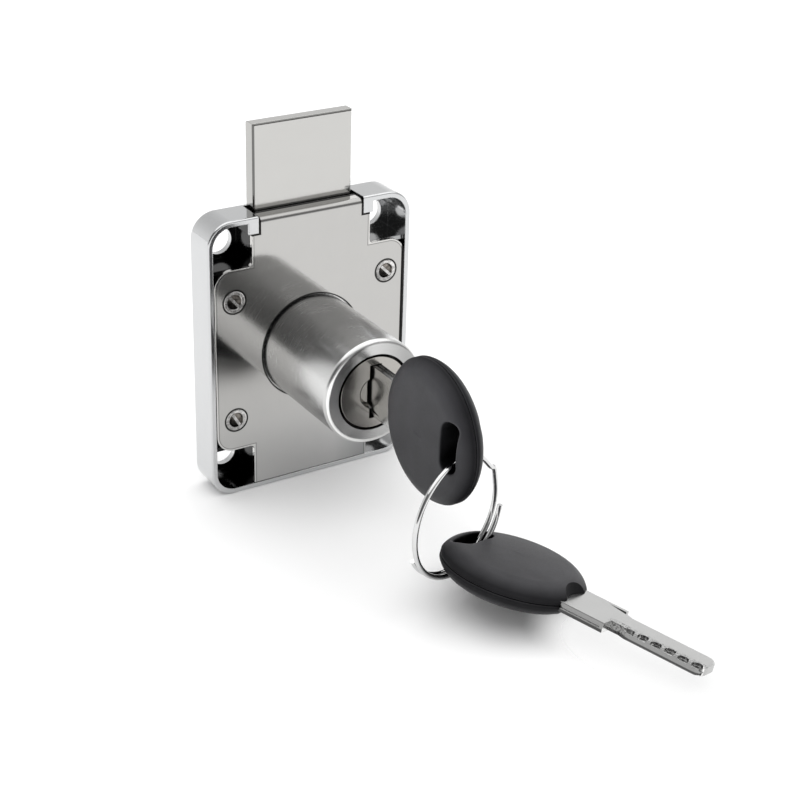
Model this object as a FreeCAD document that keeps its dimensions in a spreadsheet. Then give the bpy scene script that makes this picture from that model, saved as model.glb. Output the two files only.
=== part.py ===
import FreeCAD, Part
import math
import os
import Sketcher
from types import SimpleNamespace
from FreeCAD import Placement, Rotation, Vector

# Drawer lock with a round barrel, a square-ended bolt worked by rack and pinion,
# a wafer plug, a key in the plug and a spare key on a split ring.
# Millimetres. The origin is on the barrel's axis, in the plane that lies against
# the back of the drawer front. The barrel points to -Y, the case lies behind (+Y),
# and the bolt rises along +Z.

os.makedirs("parts", exist_ok=True)
doc = FreeCAD.newDocument("DrawerLock")
sheet = doc.addObject("Spreadsheet::Sheet", "Sizes")

# Driving sizes, each with its own cell.
DRIVING_SIZES = {
    # case
    "case_width": 40.0,
    "case_height": 52.0,
    "case_depth": 7.1,
    "rim_wall": 1.0,
    "back_wall": 1.2,
    "case_corner": 4.6,
    "case_back_round": 0.9,
    "rim_round": 0.35,
    "pocket_wall": 0.8,
    "tab_width": 1.9,
    "tab_drop": 3.0,
    "rail_width": 2.3,
    "rail_ledge": 1.2,
    "fixing_spacing_x": 30.0,
    "fixing_spacing_z": 41.0,
    "fixing_hole_radius": 2.45,
    # cover plate and its screws
    "cover_thickness": 0.8,
    "cover_gap": 0.15,
    "notch_x": 11.6,
    "notch_z": 17.2,
    "ear_round": 3.2,
    "notch_round": 0.8,
    "lip_height": 2.7,
    "lip_reach": 3.0,
    "lip_bend": 0.9,
    "cover_hole_gap": 0.25,
    "screw_x": 15.1,
    "screw_z": 11.3,
    "screw_head_radius": 2.1,
    "screw_head_depth": 0.7,
    "screw_shank_radius": 0.9,
    "screw_length": 4.2,
    "screw_slot_width": 0.55,
    "boss_radius": 2.6,
    # barrel
    "barrel_radius": 9.5,
    "barrel_length": 21.6,
    "barrel_round": 0.85,
    "edge_break": 0.08,
    "bore_radius": 6.25,
    "flange_radius": 12.4,
    "flange_thickness": 2.3,
    "wafer_groove_radius": 7.4,
    "wafer_groove_half": 4.4,
    "wafer_groove_start": 4.0,
    "clip_recess_radius": 8.2,
    "clip_recess_depth": 1.2,
    # plug, clip and wafers
    "running_gap": 0.05,
    "plug_head_radius": 6.5,
    "plug_head_length": 1.6,
    "plug_ring_gap": 0.36,
    "dish_radius": 2.7,
    "dish_depth": 0.8,
    "keyway_centre": 0.2,
    "keyway_width": 2.3,
    "keyway_top": 5.15,
    "keyway_bottom": 4.75,
    "keyway_mouth": 3.1,
    "clip_thickness": 0.8,
    "clip_groove_depth": 0.9,
    "clip_mouth": 8.0,
    "tail_radius": 3.0,
    "tail_flat": 2.2,
    "wafer_count": 6.0,
    "wafer_pitch": 2.4,
    "wafer_thickness": 1.2,
    "wafer_half_width": 3.9,
    "wafer_first": 4.4,
    "wafer_window_half": 1.3,
    "wafer_window_rise": 3.7,
    "wafer_ear": 1.0,
    "spring_radius": 0.5,
    "spring_length": 2.2,
    # bolt and pinion
    "bolt_width": 19.2,
    "bolt_thickness": 2.5,
    "bolt_throw": 15.04,
    "bolt_tail": 9.3,
    "bolt_side_gap": 0.15,
    "bolt_back_gap": 0.1,
    "bolt_bevel": 0.4,
    "window_half": 6.2,
    "gear_module": 0.8,
    "gear_teeth": 12.0,
    "gear_pressure_angle": 25.0,
    "gear_backlash": 0.12,
    "rack_teeth": 11.0,
    # keys
    "head_radius": 12.25,
    "head_thickness": 6.8,
    "head_face_radius": 9.2,
    "head_face_drop": 0.62,
    "head_rim": 0.5,
    "head_seam": 0.08,
    "head_seam_bevel": 0.15,
    "head_round": 0.4,
    "ring_hole_place": 8.0,
    "ring_hole_side": 1.2,
    "ring_hole_length": 8.8,
    "ring_hole_width": 3.4,
    "head_shift": 0.5,
    "scoop_radius": 7.0,
    "scoop_place": 16.6,
    "scoop_height": 4.8,
    "key_thickness": 1.7,
    "key_standoff": 5.7,
    "key_height": 0.4,
    "key_side": 0.4,
    "tang_length": 13.0,
    "tang_half": 3.5,
    "neck_half": 4.6,
    "neck_start": 9.6,
    "neck_taper": 15.2,
    "neck_end": 19.4,
    "blade_low": 2.7,
    "blade_high": 2.9,
    "blade_tip": 36.2,
    "blade_tip_round": 1.8,
    "cut_radius": 0.9,
    "cut_depth": 0.5,
    "edge_groove": 0.4,
    "fit_gap": 0.05,
    # split ring and the spare key on it
    "ring_radius": 10.3,
    "ring_wire": 0.9,
    "ring_turn_gap": 0.37,
    "ring_rest_gap": 1.474,
    "ring_place_side": 0.642,
    "ring_place_along": -0.204,
    "ring_yaw": 14.6,
    "ring_lean": 1.41,
    "ring_front_end": -9.0,
    "ring_front_turn": 156.0,
    "ring_step_turn": 185.0,
    "ring_back_turn": 162.5,
    "spare_side": 7.433,
    "spare_reach": 6.144,
    "spare_drop": 9.284,
    "spare_yaw": -69.7,
    "spare_pitch": -4.5,
    "spare_roll": -16.8,
}


def number_of(value):
    """The plain number of a size."""
    return value.number if isinstance(value, Size) else float(value)


def formula_of(value):
    """The formula that binds a property to a size."""
    return value.formula if isinstance(value, Size) else repr(float(value))


class Size:
    """A size: its number, and the formula that ties it to the sheet's cells."""

    def __init__(self, number, formula):
        self.number = number
        self.formula = formula

    def __add__(self, other):
        return Size(self.number + number_of(other), f"({self.formula} + {formula_of(other)})")

    def __radd__(self, other):
        return Size(number_of(other) + self.number, f"({formula_of(other)} + {self.formula})")

    def __sub__(self, other):
        return Size(self.number - number_of(other), f"({self.formula} - {formula_of(other)})")

    def __rsub__(self, other):
        return Size(number_of(other) - self.number, f"({formula_of(other)} - {self.formula})")

    def __mul__(self, other):
        return Size(self.number * number_of(other), f"({self.formula} * {formula_of(other)})")

    def __rmul__(self, other):
        return Size(number_of(other) * self.number, f"({formula_of(other)} * {self.formula})")

    def __truediv__(self, other):
        return Size(self.number / number_of(other), f"({self.formula} / {formula_of(other)})")

    def __neg__(self):
        return Size(-self.number, f"(0 - {self.formula})")


def root_of(value):
    """Square root of a size."""
    return Size(math.sqrt(number_of(value)), f"sqrt({formula_of(value)})")


def fill_sheet():
    """Write each driving size in a cell of its own and return them by name."""
    sizes = {}
    for row, (name, value) in enumerate(DRIVING_SIZES.items(), start=1):
        sheet.set(f"A{row}", name)
        sheet.set(f"B{row}", str(value))
        sheet.setAlias(f"B{row}", name)
        sizes[name] = Size(value, f"Sizes.{name}")
    doc.recompute()
    return SimpleNamespace(**sizes)


S = fill_sheet()

# Places that several pieces share, worked out from the driving sizes.
case_half_x = S.case_width / 2
case_half_z = S.case_height / 2
inner_half_x = case_half_x - S.rim_wall
inner_half_z = case_half_z - S.rim_wall
inner_depth = S.case_depth - S.back_wall
barrel_front = -S.barrel_length
flange_back = S.cover_thickness + S.flange_thickness
bolt_half = S.bolt_width / 2
bolt_back = inner_depth - S.bolt_back_gap
bolt_front = bolt_back - S.bolt_thickness
bolt_rest_top = case_half_z + S.bolt_throw
bolt_guide = bolt_half + S.bolt_side_gap
slot_half = bolt_guide + 0.55
flange_flat = bolt_guide + S.rail_ledge - S.fit_gap
plug_radius = S.bore_radius - S.running_gap
plug_end = flange_back
collar_end = bolt_front
pitch_radius = S.gear_module * S.gear_teeth / 2
wafer_start = barrel_front + S.wafer_first
wafer_radius = plug_radius - S.fit_gap * 2
head_half = S.head_thickness / 2
key_centre = barrel_front - S.key_standoff - S.head_radius

solids = []


def bind(feature, name, value):
    """Tie one property of a feature to a size."""
    feature.setExpression(name, formula_of(value))


def keep(feature, label):
    """Name a finished piece and list it for writing."""
    feature.Label = label
    solids.append(feature)
    return feature


def new_body(name):
    """A body for one piece."""
    return doc.addObject("PartDesign::Body", name + "_body")


def plane_of(body, role):
    """One of the body's own origin planes."""
    return [item for item in body.Origin.OriginFeatures if item.Role == role][0]


def new_sketch(body, role, lift=0.0):
    """A sketch on an origin plane of the body, lifted along that plane's normal."""
    drawing = body.newObject("Sketcher::SketchObject", body.Name + "_sketch")
    drawing.AttachmentSupport = (plane_of(body, role), [""])
    drawing.MapMode = "FlatFace"
    bind(drawing, "AttachmentOffset.Base.z", lift)
    return drawing


def front_sketch(body, depth=0.0):
    """A sketch in X and Z at the given Y; its normal points to -Y."""
    return new_sketch(body, "XZ_Plane", -depth)


def hold(drawing, edge, point, x, y):
    """Hold one point of a sketch at its own distances from the origin."""
    for kind, value in (("DistanceX", x), ("DistanceY", y)):
        index = drawing.addConstraint(
            Sketcher.Constraint(kind, -1, 1, edge, point, number_of(value)))
        bind(drawing, f"Constraints[{index}]", value)


def arc_through(start, end, radius, side):
    """Arc between two places that bulges to the left (side 1) or right (side -1) of the way."""
    chord = end - start
    half = chord.Length / 2
    rise = radius - math.sqrt(max(radius * radius - half * half, 0.0))
    normal = Vector(-chord.y, chord.x, 0).normalize()
    top = start + chord * 0.5 + normal * (rise * side)
    return Part.Arc(start, top, end) if side < 0 else Part.Arc(end, top, start)


def outline(drawing, corners):
    """Closed outline. A corner is (x, y), or (x, y, radius, side) where an arc leaves it."""
    places = [Vector(number_of(c[0]), number_of(c[1]), 0) for c in corners]
    count = len(corners)
    ends = []
    for k, corner in enumerate(corners):
        start, end = places[k], places[(k + 1) % count]
        if len(corner) == 2:
            edge = drawing.addGeometry(Part.LineSegment(start, end), False)
            ends.append((edge, 1, 2))
            continue
        edge = drawing.addGeometry(arc_through(start, end, number_of(corner[2]), corner[3]), False)
        forward = (drawing.Geometry[edge].StartPoint - start).Length < 1e-6
        ends.append((edge, 1, 2) if forward else (edge, 2, 1))
        index = drawing.addConstraint(Sketcher.Constraint("Radius", edge, number_of(corner[2])))
        bind(drawing, f"Constraints[{index}]", corner[2])
    for k in range(count):
        edge, _, last = ends[k]
        following, first, _ = ends[(k + 1) % count]
        drawing.addConstraint(Sketcher.Constraint("Coincident", edge, last, following, first))
    for k, corner in enumerate(corners):
        hold(drawing, ends[k][0], ends[k][1], corner[0], corner[1])


def rectangle(drawing, left, right, low, high):
    """Closed rectangle between four places."""
    outline(drawing, [(left, low), (right, low), (right, high), (left, high)])


def circle(drawing, x, y, radius):
    """Circle with its centre and radius held."""
    edge = drawing.addGeometry(
        Part.Circle(Vector(number_of(x), number_of(y), 0), Vector(0, 0, 1), number_of(radius)), False)
    index = drawing.addConstraint(Sketcher.Constraint("Radius", edge, number_of(radius)))
    bind(drawing, f"Constraints[{index}]", radius)
    hold(drawing, edge, 3, x, y)


def round_rectangle(drawing, left, right, low, high, radius):
    """Closed rectangle with round corners."""
    outline(drawing, [
        (right, low + radius), (right, high - radius, radius, -1), (right - radius, high),
        (left + radius, high, radius, -1), (left, high - radius), (left, low + radius, radius, -1),
        (left + radius, low), (right - radius, low, radius, -1)])


def volume_of(body):
    """Volume of the body so far."""
    doc.recompute()
    return body.Shape.Volume if not body.Shape.isNull() else 0.0


def add(body, drawing, length, kind="PartDesign::Pad", back=True, both=False):
    """Pad or pocket a sketch; it goes to the side of the plane's normal unless back is set."""
    before = volume_of(body)
    feature = body.newObject(kind, body.Name + "_step")
    feature.Profile = drawing
    bind(feature, "Length", length)
    if both:
        feature.SideType = "Symmetric"
    elif kind == "PartDesign::Pad":
        feature.Reversed = back
    else:
        feature.Reversed = not back
    drawing.Visibility = False
    change = volume_of(body) - before
    if (kind == "PartDesign::Pad") != (change > 0) or abs(change) < 1e-6:
        raise ValueError(f"{body.Name}: {drawing.Name} changed the volume by {change}")
    return feature


def cut(body, drawing, length, back=True, both=False):
    """Pocket a sketch."""
    return add(body, drawing, length, "PartDesign::Pocket", back, both)


def turn(body, drawing, kind="PartDesign::Revolution"):
    """Turn a sketch round its own vertical axis."""
    before = volume_of(body)
    feature = body.newObject(kind, body.Name + "_turn")
    feature.Profile = drawing
    feature.ReferenceAxis = (drawing, ["V_Axis"])
    feature.Angle = 360
    change = volume_of(body) - before
    if (kind == "PartDesign::Revolution") != (change > 0) or abs(change) < 1e-6:
        raise ValueError(f"{body.Name}: the turned sketch changed the volume by {change}")
    return feature


def dress(body, kind, edge_test, size_name, value):
    """Round or bevel the edges of the body's tip that pass a test."""
    doc.recompute()
    base = body.Tip
    names = [f"Edge{k}" for k, edge in enumerate(base.Shape.Edges, start=1) if edge_test(edge)]
    if not names:
        raise ValueError(f"{body.Name}: no edge to dress")
    feature = body.newObject(kind, body.Name + "_dress")
    feature.Base = (base, names)
    bind(feature, size_name, value)
    doc.recompute()
    return feature


def fillet(body, edge_test, radius):
    """Round the edges that pass a test."""
    return dress(body, "PartDesign::Fillet", edge_test, "Radius", radius)


def chamfer(body, edge_test, size):
    """Bevel the edges that pass a test."""
    return dress(body, "PartDesign::Chamfer", edge_test, "Size", size)


def repeat(body, feature, direction, spacing, count):
    """Copies of one feature in a line; direction is one of the body's origin axes."""
    axis = [item for item in body.Origin.OriginFeatures if item.Role == direction][0]
    pattern = body.newObject("PartDesign::LinearPattern", body.Name + "_row")
    pattern.Originals = [feature]
    pattern.Direction = (axis, [""])
    pattern.Mode = "Spacing"
    bind(pattern, "Offset", spacing)
    bind(pattern, "Occurrences", count)
    body.Tip = pattern
    doc.recompute()
    return pattern


def near(value, size, slack=1e-4):
    """Whether a measured value is at a size."""
    return abs(value - number_of(size)) < slack


def is_line_along(edge, x=0.0, y=0.0, z=0.0):
    """Whether an edge is a straight line along a direction."""
    if len(edge.Vertexes) != 2 or edge.Curve.TypeId != "Part::GeomLine":
        return False
    way = (edge.Vertexes[1].Point - edge.Vertexes[0].Point).normalize()
    return abs(way.dot(Vector(x, y, z))) > 0.9999


def middle(edge):
    """Centre of an edge's box."""
    return edge.BoundBox.Center


# Lock case: a die-cast tray, open at the front and closed at the back.

def case_shell(body):
    """Tray with rounded corners and a thin rim."""
    drawing = front_sketch(body)
    rectangle(drawing, -case_half_x, case_half_x, -case_half_z, case_half_z)
    add(body, drawing, S.case_depth)
    fillet(body, lambda e: is_line_along(e, y=1), S.case_corner)
    fillet(body, lambda e: near(e.BoundBox.YMin, S.case_depth), S.case_back_round)
    drawing = front_sketch(body)
    round_rectangle(drawing, -inner_half_x, inner_half_x, -inner_half_z, inner_half_z,
                    S.case_corner - S.rim_wall)
    cut(body, drawing, inner_depth)
    fillet(body, lambda e: near(e.BoundBox.YMax, 0) and (
        e.BoundBox.XMax > number_of(case_half_x) - 1e-3 or e.BoundBox.XMin < 1e-3 - number_of(case_half_x)
        or e.BoundBox.ZMax > number_of(case_half_z) - 1e-3
        or e.BoundBox.ZMin < 1e-3 - number_of(case_half_z)), S.rim_round)


def case_inside(body):
    """Pocket walls, guide rails and screw bosses, which stand on the back wall."""
    under_cover = S.cover_thickness
    reach = inner_depth - under_cover + 0.1
    for side in (-1, 1):
        for end in (-1, 1):
            x_in, x_out = (S.notch_x - S.pocket_wall) * side, S.notch_x * side
            z_in, z_out = (S.notch_z - S.pocket_wall) * end, (inner_half_z + S.rim_wall / 2) * end
            drawing = front_sketch(body, under_cover)
            z_far = S.notch_z * end
            x_far = (inner_half_x + S.rim_wall / 2) * side
            outline(drawing, [(x_in, z_in), (x_far, z_in), (x_far, z_far),
                              (x_out, z_far), (x_out, z_out), (x_in, z_out)])
            add(body, drawing, reach)
    ledge = bolt_guide + S.rail_ledge
    rail_end = S.notch_z - S.pocket_wall / 2
    for side in (-1, 1):
        drawing = front_sketch(body, flange_back)
        rectangle(drawing, bolt_guide * side, (ledge + 0.2) * side, -rail_end, rail_end)
        add(body, drawing, inner_depth - flange_back + 0.1)
        drawing = front_sketch(body, under_cover)
        rectangle(drawing, ledge * side, (bolt_guide + S.rail_width) * side, -rail_end, rail_end)
        add(body, drawing, reach)
        for end in (-1, 1):
            drawing = front_sketch(body, under_cover)
            circle(drawing, S.screw_x * side, S.screw_z * end, S.boss_radius)
            add(body, drawing, reach)
    for side in (-1, 1):
        drawing = front_sketch(body)
        rectangle(drawing, slot_half * side, (slot_half + S.tab_width) * side,
                  case_half_z - S.tab_drop, inner_half_z + S.rim_wall / 2)
        add(body, drawing, inner_depth + 0.1)


def case_openings(body):
    """Bolt slot in the top wall, fixing holes and the bosses' pilot holes."""
    drawing = front_sketch(body)
    rectangle(drawing, -slot_half, slot_half, inner_half_z - 1.5, case_half_z + 1)
    cut(body, drawing, inner_depth)
    drawing = front_sketch(body)
    for side in (-1, 1):
        for end in (-1, 1):
            circle(drawing, S.fixing_spacing_x / 2 * side, S.fixing_spacing_z / 2 * end,
                   S.fixing_hole_radius)
            circle(drawing, S.screw_x * side, S.screw_z * end, S.screw_shank_radius + S.fit_gap)
    cut(body, drawing, S.cover_thickness + S.screw_length + 0.3)
    drawing = front_sketch(body, inner_depth - 0.2)
    for side in (-1, 1):
        for end in (-1, 1):
            circle(drawing, S.fixing_spacing_x / 2 * side, S.fixing_spacing_z / 2 * end,
                   S.fixing_hole_radius)
    cut(body, drawing, S.back_wall + 1)


def make_case():
    body = new_body("lock_case")
    case_shell(body)
    case_inside(body)
    case_openings(body)
    return keep(body, "lock_case")


# Cover plate: a stamped sheet flush with the rim, notched at the corners.

def make_cover():
    body = new_body("cover_plate")
    half_x = inner_half_x - S.cover_gap
    half_z = inner_half_z - S.cover_gap
    shoulder = case_half_z - S.tab_drop
    lip_half = slot_half - S.cover_gap
    lip_top = shoulder + S.lip_height
    side_end = S.notch_z - S.ear_round
    ear_x = half_x - S.ear_round
    drawing = front_sketch(body)
    outline(drawing, [
        (half_x, -side_end), (half_x, side_end, S.ear_round, -1),
        (ear_x, S.notch_z), (S.notch_x, S.notch_z),
        (S.notch_x, shoulder), (lip_half, shoulder), (lip_half, lip_top), (-lip_half, lip_top),
        (-lip_half, shoulder), (-S.notch_x, shoulder), (-S.notch_x, S.notch_z),
        (-ear_x, S.notch_z, S.ear_round, -1), (-half_x, side_end),
        (-half_x, -side_end, S.ear_round, -1), (-ear_x, -S.notch_z), (-S.notch_x, -S.notch_z),
        (-S.notch_x, -half_z), (S.notch_x, -half_z), (S.notch_x, -S.notch_z),
        (ear_x, -S.notch_z, S.ear_round, -1)])
    add(body, drawing, S.cover_thickness)
    # lip that is bent back through the slot in the case's top wall
    drawing = front_sketch(body)
    rectangle(drawing, -lip_half, lip_half, lip_top - S.cover_thickness, lip_top)
    add(body, drawing, S.lip_reach)
    fillet(body, lambda e: is_line_along(e, x=1) and near(middle(e).y, 0)
           and near(middle(e).z, lip_top), S.lip_bend)
    fillet(body, lambda e: is_line_along(e, y=1) and near(abs(middle(e).x), S.notch_x)
           and near(abs(middle(e).z), S.notch_z), S.notch_round)
    drawing = front_sketch(body)
    circle(drawing, 0, 0, S.barrel_radius + S.cover_hole_gap)
    for side in (-1, 1):
        for end in (-1, 1):
            circle(drawing, S.screw_x * side, S.screw_z * end, S.screw_shank_radius + S.fit_gap * 2)
    cut(body, drawing, S.cover_thickness + 1)
    chamfer(body, lambda e: near(e.BoundBox.YMax, 0) and e.BoundBox.YLength < 1e-6
            and near(e.BoundBox.XLength, (S.screw_shank_radius + S.fit_gap * 2) * 2, 1e-3),
            S.screw_head_depth)
    return keep(body, "cover_plate")


# Cover screws: four countersunk heads with slots at odd angles.

SCREW_SLOT_ANGLES = {(-1, -1): 50.0, (-1, 1): 20.0, (1, -1): 75.0, (1, 1): 8.0}


def make_screw(side, end, angle):
    """One screw, its head flush with the cover."""
    head = doc.addObject("Part::Cone", "screw_head")
    bind(head, "Radius1", S.screw_shank_radius + S.screw_head_depth)
    bind(head, "Radius2", S.screw_shank_radius)
    bind(head, "Height", S.screw_head_depth)
    shank = doc.addObject("Part::Cylinder", "screw_shank")
    bind(shank, "Radius", S.screw_shank_radius)
    bind(shank, "Height", S.screw_length)
    joined = doc.addObject("Part::Fuse", "screw_blank")
    joined.Base = head
    joined.Tool = shank
    slot = doc.addObject("Part::Box", "screw_slot")
    bind(slot, "Length", S.screw_head_radius * 2 + 1)
    bind(slot, "Width", S.screw_slot_width)
    bind(slot, "Height", S.screw_head_depth * 0.6)
    slot.Placement = Placement(Vector(0, 0, -0.01), Rotation())
    bind(slot, "Placement.Base.x", -S.screw_head_radius - 0.5)
    bind(slot, "Placement.Base.y", -S.screw_slot_width / 2)
    screw = doc.addObject("Part::Cut", "screw")
    screw.Base = joined
    screw.Tool = slot
    screw.Placement = Placement(Vector(), Rotation(Vector(1, 0, 0), -90)
                                * Rotation(Vector(0, 0, 1), angle))
    bind(screw, "Placement.Base.x", S.screw_x * side)
    bind(screw, "Placement.Base.z", S.screw_z * end)
    return screw


def make_screws():
    screws = [make_screw(side, end, angle) for (side, end), angle in SCREW_SLOT_ANGLES.items()]
    group = doc.addObject("Part::Compound", "cover_screws_group")
    group.Links = screws
    return keep(group, "cover_screws")


# Barrel: a turned sleeve whose flange is held between the cover and the case's rails.

def make_barrel():
    body = new_body("barrel")
    drawing = new_sketch(body, "XY_Plane")
    head_bore = S.plug_head_radius + S.plug_ring_gap
    head_floor = barrel_front + S.plug_head_length + S.fit_gap
    recess_floor = flange_back - S.clip_recess_depth
    outline(drawing, [
        (head_bore, barrel_front + S.edge_break), (head_bore + S.edge_break, barrel_front),
        (S.barrel_radius - S.barrel_round, barrel_front, S.barrel_round, -1),
        (S.barrel_radius, barrel_front + S.barrel_round),
        (S.barrel_radius, S.cover_thickness), (S.flange_radius, S.cover_thickness),
        (S.flange_radius, flange_back), (S.clip_recess_radius, flange_back),
        (S.clip_recess_radius, recess_floor), (S.bore_radius, recess_floor),
        (S.bore_radius, head_floor), (head_bore, head_floor)])
    turn(body, drawing)
    # two flats on the flange keep the barrel from turning between the rails
    drawing = front_sketch(body, S.cover_thickness)
    for side in (-1, 1):
        rectangle(drawing, flange_flat * side, (S.flange_radius + 1) * side,
                  -S.flange_radius, S.flange_radius)
    cut(body, drawing, S.flange_thickness + 1)
    # grooves above and below the bore, which the wafers rise into
    drawing = new_sketch(body, "YZ_Plane")
    groove_start = wafer_start - 1.3
    groove_end = wafer_start + S.wafer_pitch * (S.wafer_count - 1) + S.wafer_thickness + 1.3
    for side in (-1, 1):
        rectangle(drawing, groove_start, groove_end, S.wafer_groove_start * side,
                  S.wafer_groove_radius * side)
    cut(body, drawing, S.wafer_groove_half * 2, both=True)
    return keep(body, "barrel")


# Plug: turned, with the keyway, the wafer slots and a double-flat tail.

def make_plug():
    body = new_body("plug")
    drawing = new_sketch(body, "XY_Plane")
    groove_floor = plug_radius - S.clip_groove_depth
    groove_start = flange_back - S.clip_recess_depth + S.fit_gap
    groove_end = groove_start + S.clip_thickness + S.fit_gap
    tail_end = bolt_back
    outline(drawing, [
        (0, barrel_front), (S.plug_head_radius - S.edge_break, barrel_front),
        (S.plug_head_radius, barrel_front + S.edge_break),
        (S.plug_head_radius, barrel_front + S.plug_head_length),
        (plug_radius, barrel_front + S.plug_head_length), (plug_radius, groove_start),
        (groove_floor, groove_start), (groove_floor, groove_end), (plug_radius, groove_end),
        (plug_radius, plug_end), (S.tail_radius + 0.6, plug_end),
        (S.tail_radius + 0.6, collar_end), (S.tail_radius, collar_end),
        (S.tail_radius, tail_end), (0, tail_end)])
    turn(body, drawing)
    # shallow cone sunk in the face round the keyway
    drawing = new_sketch(body, "XY_Plane")
    outline(drawing, [(0, barrel_front), (S.dish_radius, barrel_front),
                      (S.dish_radius - 0.5, barrel_front + S.dish_depth),
                      (0, barrel_front + S.dish_depth)])
    turn(body, drawing, "PartDesign::Groove")
    # keyway: a tall mouth, then the way of the blade
    drawing = front_sketch(body, barrel_front)
    left = S.keyway_centre - S.keyway_width / 2
    right = S.keyway_centre + S.keyway_width / 2
    rectangle(drawing, left, right, -S.keyway_bottom, S.keyway_top)
    cut(body, drawing, S.keyway_mouth)
    drawing = front_sketch(body, barrel_front)
    rectangle(drawing, left, right, S.key_height - S.blade_low - 0.25,
              S.key_height + S.blade_high + 0.25)
    cut(body, drawing, key_centre + S.blade_tip + 0.2 - barrel_front)
    # one slot for each wafer, with a side pocket for its ear and spring
    slot_half_width = S.wafer_half_width + S.fit_gap * 2
    ear_out = S.wafer_half_width + S.wafer_ear + S.fit_gap * 4
    drawing = front_sketch(body, wafer_start - S.fit_gap)
    outline(drawing, [
        (slot_half_width, -8), (slot_half_width, -S.spring_length - 0.6),
        (ear_out, -S.spring_length - 0.6), (ear_out, 1.4), (slot_half_width, 1.4),
        (slot_half_width, 8), (-slot_half_width, 8), (-slot_half_width, -8)])
    slot = cut(body, drawing, S.wafer_thickness + S.fit_gap * 2)
    repeat(body, slot, "Y_Axis", S.wafer_pitch, S.wafer_count)
    # flats on the tail
    drawing = front_sketch(body, collar_end)
    for side in (-1, 1):
        rectangle(drawing, S.tail_flat * side, (S.tail_radius + 1) * side, -4, 4)
    cut(body, drawing, tail_end - collar_end + 0.5)
    return keep(body, "plug")


def make_clip():
    """Open retaining ring in the plug's groove, behind the barrel's bore."""
    body = new_body("retaining_clip")
    drawing = front_sketch(body, flange_back - S.clip_recess_depth + S.fit_gap * 1.5)
    circle(drawing, 0, 0, S.clip_recess_radius - 0.5)
    circle(drawing, 0, 0, plug_radius - S.clip_groove_depth + S.fit_gap)
    add(body, drawing, S.clip_thickness)
    drawing = front_sketch(body)
    rectangle(drawing, -S.clip_mouth / 2, S.clip_mouth / 2, 0, S.clip_recess_radius)
    cut(body, drawing, flange_back + 1)
    return keep(body, "retaining_clip")


# Wafers: flat tumblers with a window for the blade and an ear for the spring.

WINDOW_OFFSETS = (0.2, -0.15, 0.05, -0.2, 0.15, -0.05)


def make_wafer(index):
    body = new_body(f"wafer_{index + 1}")
    place = wafer_start + S.wafer_pitch * index
    half = S.wafer_half_width
    rise = root_of(wafer_radius * wafer_radius - half * half)
    ear = S.wafer_ear
    drawing = front_sketch(body, place)
    outline(drawing, [
        (half, -rise), (half, -0.5), (half + ear, -0.5), (half + ear, 0.4), (half, 0.4),
        (half, rise, wafer_radius, -1), (-half, rise), (-half, -rise, wafer_radius, -1)])
    window = S.key_height + 0.1 + WINDOW_OFFSETS[index]
    rectangle(drawing, S.keyway_centre - S.wafer_window_half, S.keyway_centre + S.wafer_window_half,
              window - S.wafer_window_rise, window + S.wafer_window_rise)
    add(body, drawing, S.wafer_thickness)
    return keep(body, f"wafer_{index + 1}")


def make_wafer_springs():
    """One small spring under each wafer's ear, as plain tubes."""
    body = new_body("wafer_springs")
    x = S.wafer_half_width + S.wafer_ear / 2 + S.fit_gap
    y = wafer_start + S.wafer_thickness / 2
    drawing = new_sketch(body, "XY_Plane", -S.spring_length - 0.55)
    circle(drawing, x, y, S.spring_radius)
    circle(drawing, x, y, S.spring_radius * 0.55)
    first = add(body, drawing, S.spring_length, back=False)
    repeat(body, first, "Y_Axis", S.wafer_pitch, S.wafer_count)
    return keep(body, "wafer_springs")


# Pinion: involute teeth round the plug's tail, which drive the rack in the bolt's window.

def involute_turn(angle):
    """How far an involute has turned from its start where its pressure angle is given."""
    return math.tan(angle) - angle


def tooth_flank(base, radius, half_angle):
    """Point of a tooth's upper flank at a radius; half_angle is measured at the base circle."""
    along = math.acos(min(base / radius, 1.0))
    turned = half_angle - involute_turn(along)
    return Vector(radius * math.cos(turned), 0, radius * math.sin(turned))


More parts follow.
